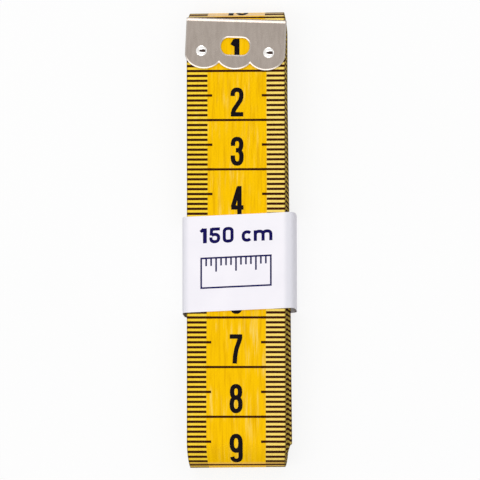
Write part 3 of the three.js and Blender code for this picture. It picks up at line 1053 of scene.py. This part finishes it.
class Nodes:
    """The nodes of a material or the world. Inputs are numbers, colours or other nodes' sockets."""

    def __init__(self, owner):
        owner.use_nodes = True
        self.tree = owner.node_tree

    def node(self, kind, inputs, output=0, **settings):
        made = self.tree.nodes.new(kind)
        for name, value in settings.items():
            setattr(made, name, value)
        self.join(made, inputs)
        return made.outputs[output]

    def join(self, made, inputs):
        for name, value in inputs.items():
            if isinstance(value, bpy.types.NodeSocket):
                self.tree.links.new(value, made.inputs[name])
            else:
                made.inputs[name].default_value = value

    def maths(self, operation, *values):
        return self.node("ShaderNodeMath", dict(enumerate(values)), operation=operation)

    def ramp(self, value, low, high, start=0.0, end=1.0):
        """Goes smoothly from start at low to end at high."""
        return self.node("ShaderNodeMapRange", {
            "Value": value, "From Min": low, "From Max": high, "To Min": start, "To Max": end,
        }, interpolation_type="SMOOTHSTEP")

    def mix(self, share, first, second):
        return self.node(
            "ShaderNodeMix", {"Factor": share, 6: first, 7: second}, output=2, data_type="RGBA",
        )

    def split(self, vector):
        parts = self.tree.nodes.new("ShaderNodeSeparateXYZ")
        self.join(parts, {0: vector})
        return parts.outputs

    def flat(self):
        """Across and along, in millimetres, from the flat pattern's map."""
        return self.node("ShaderNodeUVMap", {}, uv_map="flat")

    def body(self):
        """Millimetres in the part's frame."""
        where = self.node("ShaderNodeTexCoord", {}, output="Object")
        return self.node("ShaderNodeVectorMath", {0: where, "Scale": 1 / MM}, operation="SCALE")

    def noise(self, where, grain):
        drawn = self.node(
            "ShaderNodeVectorMath", {0: where, 1: grain.stretch}, operation="MULTIPLY",
        )
        return self.node("ShaderNodeTexNoise", {
            "Vector": drawn, "Scale": grain.scale, "Detail": grain.detail,
            "Roughness": grain.roughness,
        })

    def marks(self, where, grain, strength=1.0):
        return self.ramp(self.noise(where, grain), grain.low, grain.high, 0.0, strength)

    def bump(self, height, strength, distance):
        return self.node("ShaderNodeBump", {
            "Height": height, "Strength": strength, "Distance": distance * MM,
        })

    def plain_rays(self):
        """1 for the rays that see a plain white background, and 0 for those that light."""
        path = self.tree.nodes.new("ShaderNodeLightPath")
        seen = path.outputs["Is Camera Ray"]
        for ray in ("Is Glossy Ray", "Is Transmission Ray"):
            seen = self.maths("MAXIMUM", seen, path.outputs[ray])
        return seen


class Finish(Nodes):
    """A material with one Principled shader."""

    def __init__(self, name):
        self.material = bpy.data.materials.new(name)
        super().__init__(self.material)
        self.shader = self.tree.nodes["Principled BSDF"]

    def shade(self, **inputs):
        self.join(self.shader, {name.replace("_", " "): value for name, value in inputs.items()})


# The cloth's finish

CLOTH_YELLOW = srgb(253, 198, 0)
CLOTH_DEEP = srgb(230, 172, 0)
# Pale lengthwise streaks: grain under the coating, and painted sheen where the streaks are glossier
CLOTH_PALE = srgb(255, 223, 116)
CLOTH_LEMON = srgb(253, 224, 78)  # under the ticks, on the left
# paler lemon on the right, as painted sheen
CLOTH_LEMON_SHEEN = srgb(255, 236, 142)
CLOTH_EDGE_SHADE = srgb(132, 110, 20)  # painted shade along the cloth's cut edges
DEEP_SHARE = 0.75
PALE_SHARE = 0.75
LEMON_SHARE = 0.6
LEMON_TURN = 1.0  # from the middle to where each side's lemon is full
EDGE_SHARE = 0.68
EDGE_START, EDGE_FULL = 0.3, 0.05  # from the rim
STREAKS = Grain(stretch=(1.3, 0.09, 1.0), detail=4.0, roughness=0.6, low=0.48, high=0.72)
PATCHES = Grain(scale=0.12, detail=1.0, low=0.4, high=0.65)
DEEP_THREADS = Grain(stretch=(1.9, 0.12, 1.0), detail=3.0, roughness=0.6, low=0.42, high=0.7)
CLOTH_ROUGHNESS, STREAK_ROUGHNESS = 0.5, 0.36
CLOTH_SPECULAR = 0.03

INK = srgb(20, 15, 20)
WORN_INK = srgb(86, 66, 50)
INK_WEAR = Grain(scale=2.2, detail=3.0, low=0.55, high=0.8)
INK_WEAR_SHARE = 0.25
INK_ROUGHNESS, WORN_INK_ROUGHNESS = 0.42, 0.55

TICK_INK = srgb(56, 20, 6)
TICK_THICKNESS = 0.5
LINE_THICKNESS = 0.46
TICK_SOFTNESS = 0.05
TICK_INSIDE = 5.95  # from the scale's middle to the short ticks
FIVE_TICK_INSIDE = 4.99

THREAD_PITCH = 0.42
WEAVE_GRAIN = Grain(scale=3.0)
WEAVE_GRAIN_SHARE = 1.5
WEAVE_STRENGTH = 0.35
WEAVE_DEPTH = 0.02


@dataclass
class Wear:
    """Painted shade and reflection on the steep outer folds at one end of the bundle. way is 1 at
    the far end and -1 at the near one, and start and full are distances from that end."""

    way: float
    start: float
    full: float
    # colour is painted over the folds' noses, and the next share darkens their tick strips, as
    # painted shade and reflection
    colour: tuple
    smear: float


# The far end's folds are painted greyer and darker, the near end's paler: painted shade and
# reflection
FOLD_SHADES = (
    Wear(way=1.0, start=1.25, full=0.75, colour=srgb(202, 184, 170), smear=0.7),
    Wear(way=-1.0, start=0.95, full=0.6, colour=srgb(244, 190, 88), smear=0.5),
)
FOLD_SHADE_SHARE = 0.85
FOLD_SHADE_LOW, FOLD_SHADE_HIGH = 3.4, 6.4  # it fades in between these heights


def weave(finish, flat):
    """The height of a plain weave under its coating."""
    across, along, _ = finish.split(flat)
    warp = finish.maths("SINE", finish.maths("MULTIPLY", across, math.pi / THREAD_PITCH))
    weft = finish.maths("SINE", finish.maths("MULTIPLY", along, math.pi / THREAD_PITCH))
    grain = finish.maths("MULTIPLY", finish.noise(flat, WEAVE_GRAIN), WEAVE_GRAIN_SHARE)
    return finish.maths("ADD", finish.maths("MULTIPLY", warp, weft), grain)


def scale_marks(finish, across, along):
    """The ticks and the centimetre lines, and the strips at the sides that hold the short ticks."""
    middle = finish.ramp(
        along, WANDER_START, WANDER_END, PRINT_SHIFT, PRINT_SHIFT - PRINT_WANDER,
    )
    centred = finish.maths("ABSOLUTE", finish.maths("SUBTRACT", across, middle))

    def line(period, thickness):
        distance = finish.maths("PINGPONG", along, period / 2)
        low, high = (thickness - TICK_SOFTNESS) / 2, (thickness + TICK_SOFTNESS) / 2
        return finish.ramp(distance, low, high, 1.0, 0.0)

    def beyond(inside):
        return finish.ramp(centred, inside - TICK_SOFTNESS, inside + TICK_SOFTNESS)

    strips, printed = beyond(TICK_INSIDE), line(CENTIMETRE, LINE_THICKNESS)
    for period, room in ((CENTIMETRE / 10, strips), (CENTIMETRE / 2, beyond(FIVE_TICK_INSIDE))):
        ticks = finish.maths("MULTIPLY", line(period, TICK_THICKNESS), room)
        printed = finish.maths("MAXIMUM", printed, ticks)
    return printed, strips


def cloth_colour(finish, flat, streaks):
    across, along, _ = finish.split(flat)
    printed, strips = scale_marks(finish, across, along)
    colour = finish.mix(finish.marks(flat, DEEP_THREADS, DEEP_SHARE), CLOTH_YELLOW, CLOTH_DEEP)
    # Pale streaks: grain, with painted sheen on the glossier ones
    colour = finish.mix(finish.maths("MULTIPLY", streaks, PALE_SHARE), colour, CLOTH_PALE)
    # Towards the right the lemon strips turn paler: painted sheen
    right = finish.ramp(across, -LEMON_TURN, LEMON_TURN)
    lemon = finish.mix(right, CLOTH_LEMON, CLOTH_LEMON_SHEEN)
    colour = finish.mix(finish.maths("MULTIPLY", strips, LEMON_SHARE), colour, lemon)
    _, y, z = finish.split(finish.body())
    # Painted shade and reflection on the outer folds at both ends, darker still over the tick
    # strips
    for fold_shade in FOLD_SHADES:
        out = finish.maths("MULTIPLY", y, fold_shade.way)
        ink_wear_and_fold_shade = finish.ramp(
            out, HALF_BUNDLE - fold_shade.start, HALF_BUNDLE - fold_shade.full, 0.0, FOLD_SHADE_SHARE,
        )
        ink_wear_and_fold_shade = finish.maths("MULTIPLY", ink_wear_and_fold_shade, finish.ramp(z, FOLD_SHADE_LOW, FOLD_SHADE_HIGH))
        colour = finish.mix(ink_wear_and_fold_shade, colour, fold_shade.colour)
        shaded_ticks = finish.maths("MULTIPLY", finish.maths("MULTIPLY", ink_wear_and_fold_shade, strips), fold_shade.smear)
        colour = finish.mix(shaded_ticks, colour, TICK_INK)
    # Painted shade, darkening the cloth towards its cut edges
    edge = finish.ramp(
        finish.maths("ABSOLUTE", across),
        TAPE_WIDTH / 2 - EDGE_START, TAPE_WIDTH / 2 - EDGE_FULL, 0.0, EDGE_SHARE,
    )
    return finish.mix(printed, finish.mix(edge, colour, CLOTH_EDGE_SHADE), TICK_INK)


def cloth_finish(name, is_ink):
    finish = Finish(name)
    flat = finish.flat()
    if is_ink:
        ink_wear_and_fold_shade = finish.marks(flat, INK_WEAR)
        colour = finish.mix(finish.maths("MULTIPLY", ink_wear_and_fold_shade, INK_WEAR_SHARE), INK, WORN_INK)
        roughness = finish.ramp(ink_wear_and_fold_shade, 0, 1, INK_ROUGHNESS, WORN_INK_ROUGHNESS)
    else:
        streaks = finish.marks(flat, STREAKS)
        streaks = finish.maths("MULTIPLY", streaks, finish.marks(flat, PATCHES))
        colour = cloth_colour(finish, flat, streaks)
        roughness = finish.ramp(streaks, 0, 1, CLOTH_ROUGHNESS, STREAK_ROUGHNESS)
    finish.shade(
        Base_Color=colour, Roughness=roughness, Specular_IOR_Level=CLOTH_SPECULAR,
        Normal=finish.bump(weave(finish, flat), WEAVE_STRENGTH, WEAVE_DEPTH),
    )
    return finish.material


# The metals' and the paper's finish

# Painted shade in the rivet heads' slit
METAL_SLIT_SHADE = srgb(58, 46, 42)
METAL_GRAIN = Grain(scale=4.0, detail=6.0, roughness=0.75, low=0.35, high=0.75)
METAL_GRAIN_SHARE = 0.45
METAL_GRAIN_DEPTH = 0.01
METAL_CLOUDS = Grain(scale=1.6, stretch=(1.0, 0.22, 1.0), detail=3.0, low=0.3, high=0.75)
METAL_CLOUDS_SHARE = 0.6
POLISH, DULLING = 0.06, 0.08  # how far the roughness goes down and up with the grain
SLIT_SHADE_START, SLIT_SHADE_FULL = 0.15, 0.6  # shares of the dent's depth, over which the painted shade in the slit comes in


def metal_finish(name, colour, dark, roughness, relief):
    finish = Finish(name)
    where = finish.body()
    grain = finish.noise(where, METAL_GRAIN)
    grains = finish.ramp(grain, METAL_GRAIN.low, METAL_GRAIN.high, 0.0, METAL_GRAIN_SHARE)
    tone = finish.mix(finish.marks(where, METAL_CLOUDS, METAL_CLOUDS_SHARE), colour, dark)
    tone = finish.mix(grains, tone, dark)
    # Painted shade in the rivet's slit, darker where it is deeper
    dent = finish.node("ShaderNodeAttribute", {}, output="Fac", attribute_name=DENT_NAME)
    tone = finish.mix(finish.ramp(dent, SLIT_SHADE_START, SLIT_SHADE_FULL), tone, METAL_SLIT_SHADE)
    dullness = finish.ramp(
        grain, NOISE_LOW, NOISE_HIGH, roughness - POLISH, roughness + DULLING,
    )
    finish.shade(
        Base_Color=tone, Metallic=1.0, Roughness=dullness,
        Normal=finish.bump(grain, relief, METAL_GRAIN_DEPTH),
    )
    return finish.material


PAPER_SIDE_SHADE = srgb(224, 223, 231)  # painted shade on the band's sides, which turn away from the light
PAPER_SIDE_SHARE = 0.9
PAPER_SIDE_TURN = 0.6  # the painted shade sets in from this far inside the crease to as far outside
PAPER_FIBRES = Grain(scale=2.5, detail=6.0, roughness=0.7)
PAPER_CLOUDS = Grain(scale=0.15, low=0.3, high=0.7)
PAPER_SMOOTH, PAPER_ROUGH = 0.55, 0.68
PAPER_RELIEF = 0.25
PAPER_GRAIN_DEPTH = 0.02


def paper_finish(name, first, second, specular):
    finish = Finish(name)
    where = finish.body()
    fibres = finish.noise(where, PAPER_FIBRES)
    tone = finish.mix(finish.marks(where, PAPER_CLOUDS), first, second)
    # Painted shade: the paper greys past the creases, over the band's sides
    aside = finish.maths("ABSOLUTE", finish.maths("SUBTRACT", finish.split(where)[0], TAPE_MIDDLE))
    crease = TAPE_WIDTH / 2
    side_shade = finish.ramp(
        aside, crease - PAPER_SIDE_TURN, crease + PAPER_SIDE_TURN, 0.0, PAPER_SIDE_SHARE,
    )
    finish.shade(
        Base_Color=finish.mix(side_shade, tone, PAPER_SIDE_SHADE),
        Roughness=finish.ramp(fibres, NOISE_LOW, NOISE_HIGH, PAPER_SMOOTH, PAPER_ROUGH),
        Specular_IOR_Level=specular,
        Normal=finish.bump(fibres, PAPER_RELIEF, PAPER_GRAIN_DEPTH),
    )
    return finish.material


# The pieces: the coil, the clips, the rivets and the band each on its body

def dress(made, node, slot, *materials):
    """made stands for a node of the part, which it hides, and takes the materials given. slot is
    not used.
    """
    for material in materials:
        made.data.materials.append(material)
    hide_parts(node)


cloth = cloth_finish("tape_cloth", False)
print_ink = cloth_finish("tape_ink", True)
clip_metal = metal_finish(
    "clip_metal", srgb(175, 164, 155), srgb(154, 143, 134), roughness=0.27, relief=0.35,
)
# A lighter, glossier copy of the clip's metal on the pressed rims: painted highlight
clip_rim_highlight = metal_finish(
    "clip_rim_highlight", srgb(182, 173, 165), srgb(168, 160, 152), roughness=0.24, relief=0.1,
)
# Nearly white, far lighter than the clip's metal, so that the heads show as white as their
# highlights: painted highlight
rivet_metal = metal_finish(
    "rivet_metal", srgb(244, 242, 239), srgb(226, 223, 219), roughness=0.3, relief=0.1,
)
paper = paper_finish("band_paper", srgb(248, 245, 251), srgb(244, 241, 248), specular=0.35)
band_ink = paper_finish("band_ink", srgb(12, 8, 76), srgb(18, 14, 84), specular=0.06)

BEND_BEFORE = 2.6  # where the cloth starts to bend, before its hinge
STRETCHES = ["free_end_near_band", "free_end_middle", "free_end_at_clip"]
cut_lengths = [length_at(y - BEND_BEFORE) for y in HINGES] + [0.0]

coil = tape_piece("wound_tape", cut_lengths[0], TAPE_LENGTH, tape_bake_chart)
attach(coil, "bundle")
dress(coil, "tape_coil", "tape_cloth", cloth, print_ink)

for index, (node, hinge) in enumerate(zip(STRETCHES, HINGES)):
    stretch = tape_piece("printed_" + node, cut_lengths[index + 1], cut_lengths[index])
    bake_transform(stretch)
    dress(stretch, node, "tape_cloth", cloth, print_ink)


def clip_frame(x, y, z, turn):
    return Matrix.Translation((TAPE_MIDDLE + x, y, z)) @ Matrix.Rotation(turn, 4, "Z")


INNER_TURN = math.pi + math.atan(INNER_LEAN / (2 * HALF_BUNDLE))
INNER_SHIFT = tape_shift(INNER_END, LAYER_COUNT)
START_FRAME = clip_frame(START_CLIP_SHIFT, ZERO_END, CLIP_LEVEL, START_CLIP_TURN)
INNER_FRAME = clip_frame(INNER_SHIFT, INNER_END, INNER_LEVEL, INNER_TURN)

for name, body, matrix in (
    ("start", "stretch_at_clip", START_FRAME), ("inner", "bundle", INNER_FRAME),
):
    clip = clip_piece(name + "_clip_folded", matrix)
    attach(clip, body)
    dress(clip, name + "_clip", "clip_metal", clip_metal, clip_rim_highlight)
    for side, sign in (("left", -1), ("right", 1)):
        place = (sign * (CLIP_HALF_WIDTH - RIVET_FROM_SIDE), FOLD_OUTSIDE - RIVET_FROM_FOLD, 0)
        rivet = rivet_piece(f"{name}_rivet_{side}_set", matrix @ Matrix.Translation(place))
        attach(rivet, body)
        dress(rivet, f"{name}_rivet_{side}", "rivet_metal", rivet_metal)

band = sheet_object("paper_band_wrapped", band_pattern(), band_place, plain_chart)
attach(band, "band")
dress(band, "paper_band", "band_paper", paper, band_ink)


# The floor and the light, in metres

FLOOR_SIZE = 6.0
FLOOR_SHADOW = 0.16  # how much of the floor that the camera sees is its lit surface
FLOOR_GRAIN = Grain(scale=0.02)
FLOOR_TONES = srgb(240, 240, 240), srgb(246, 246, 246)
FLOOR_ROUGHNESS = 0.9
DOME_LOW, DOME_HIGH = 0.27, 0.93  # its light at the horizon and overhead


def make_floor():
    half = FLOOR_SIZE / 2
    corners = [(-half, -half, 0), (half, -half, 0), (half, half, 0), (-half, half, 0)]
    mesh = bpy.data.meshes.new("floor")
    mesh.from_pydata(corners, [], [(0, 1, 2, 3)])
    finish = Finish("floor")
    tone = finish.mix(finish.noise(finish.body(), FLOOR_GRAIN), *FLOOR_TONES)
    finish.shade(Base_Color=tone, Roughness=FLOOR_ROUGHNESS)
    plain = finish.maths("MULTIPLY", finish.plain_rays(), 1 - FLOOR_SHADOW)
    white = finish.node("ShaderNodeEmission", {"Color": WHITE, "Strength": 1.0})
    lit = finish.shader.outputs[0]
    surface = finish.node("ShaderNodeMixShader", {0: plain, 1: lit, 2: white})
    finish.join(finish.tree.nodes["Material Output"], {"Surface": surface})
    mesh.materials.append(finish.material)
    linked("floor", mesh)


def make_world():
    """A dome that lights most from overhead. The camera and the metal see it as plain white."""
    world = bpy.data.worlds.new("studio")
    bpy.context.scene.world = world
    nodes = Nodes(world)
    up = nodes.split(nodes.node("ShaderNodeTexCoord", {}, output="Generated"))[2]
    dome = nodes.node("ShaderNodeMapRange", {
        "Value": nodes.maths("MULTIPLY", up, up), "To Min": DOME_LOW, "To Max": DOME_HIGH,
    })
    strength = nodes.node("ShaderNodeMix", {"Factor": nodes.plain_rays(), "A": dome, "B": 1.0})
    nodes.join(nodes.tree.nodes["Background"], {"Color": WHITE, "Strength": strength})


def make_light(name, width, height, power, place):
    """A lamp that points at the origin."""
    data = bpy.data.lights.new(name, "AREA")
    data.shape = "RECTANGLE"
    data.size = width
    data.size_y = height
    data.energy = power
    lamp = linked(name, data)
    lamp.location = place
    lamp.rotation_euler = (-Vector(place)).to_track_quat("-Z", "Y").to_euler()


make_floor()
make_world()
make_light("key", width=2.1, height=0.5, power=7.4, place=(-0.2, -0.6, 1.3))
make_light("back", width=1.2, height=0.8, power=8.4, place=(-0.1, 1.15, 0.42))


# The camera, as the photo's perspective gives it

PICTURE = 480  # pixels
SENSOR = 36.0  # the width of the camera's sensor
CAMERA_DISTANCE = 1200.0
CAMERA_SCALE = 4.9887  # pixels to a millimetre, at the target
CAMERA_TARGET = Vector((0, 0, 7.7))
TILT_DOWN = math.radians(8.382)  # towards the near folds
TILT_RIGHT = math.radians(4.632)
CAMERA_ROLL = math.radians(-0.0575)
PICTURE_MIDDLE = (238.265, 236.2)  # where the target shows


def make_camera():
    back = Vector((math.tan(TILT_RIGHT), -math.tan(TILT_DOWN), 1)).normalized()
    up = (Vector((0, 1, 0)) - back * back.y).normalized()
    right = up.cross(back)
    across = right * math.cos(CAMERA_ROLL) + up * math.sin(CAMERA_ROLL)
    upward = up * math.cos(CAMERA_ROLL) - right * math.sin(CAMERA_ROLL)
    slide = across * (PICTURE / 2 - PICTURE_MIDDLE[0]) / CAMERA_SCALE
    slide += upward * (PICTURE_MIDDLE[1] - PICTURE / 2) / CAMERA_SCALE
    data = bpy.data.cameras.new("camera")
    data.sensor_width = SENSOR
    data.lens = SENSOR * CAMERA_DISTANCE * CAMERA_SCALE / PICTURE
    turn = Matrix((across, upward, back)).transposed().to_4x4()
    place = (CAMERA_TARGET + back * CAMERA_DISTANCE + slide) * MM
    camera = linked("camera", data)
    camera.matrix_world = Matrix.Translation(place) @ turn
    bpy.context.scene.camera = camera


make_camera()
bpy.context.scene.view_settings.view_transform = "Standard"
